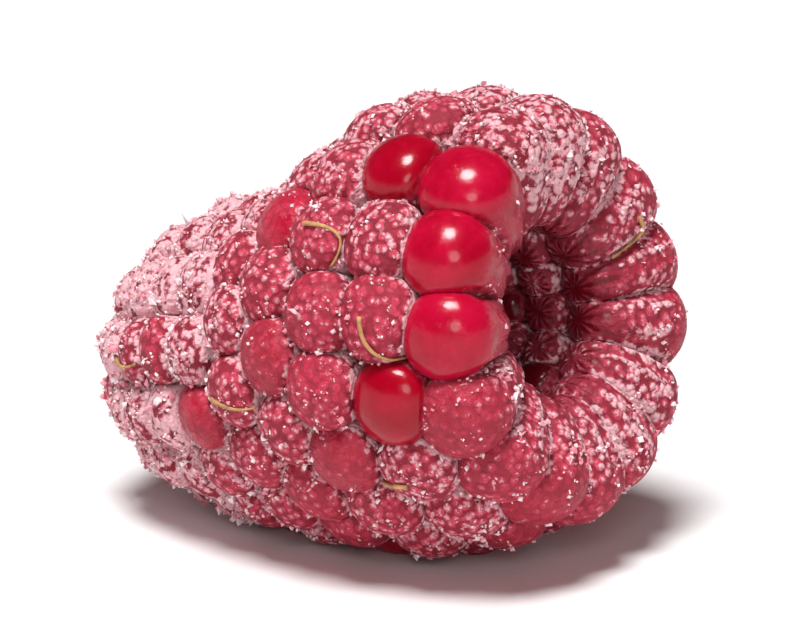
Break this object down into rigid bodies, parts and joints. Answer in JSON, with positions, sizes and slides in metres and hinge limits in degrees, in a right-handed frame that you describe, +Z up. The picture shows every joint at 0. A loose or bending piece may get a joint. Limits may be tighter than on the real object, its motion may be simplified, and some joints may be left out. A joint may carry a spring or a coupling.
{
  "type": "raspberry",
  "caption": "Ripe frosted raspberry lying on its flank: a thimble-shaped cluster of rounded drupelets round the open hollow left by its receptacle.",
  "frame": {"origin": "middle of the underside of the berry's box, on the surface that it lies on", "axes": "+X along the berry towards its opening, which looks up by 12 degrees; +Y across it; +Z up"},
  "size_m": [0.023, 0.0186, 0.0184],
  "materials": {
    "skin": "moist crimson skin, glossy where clean and matt pink where frosted",
    "frost": "fine white hoar frost",
    "styles": "dry straw-coloured threads"
  },
  "bodies": {
    "root": {"raspberry": "skin"}
  },
  "joints": []
}
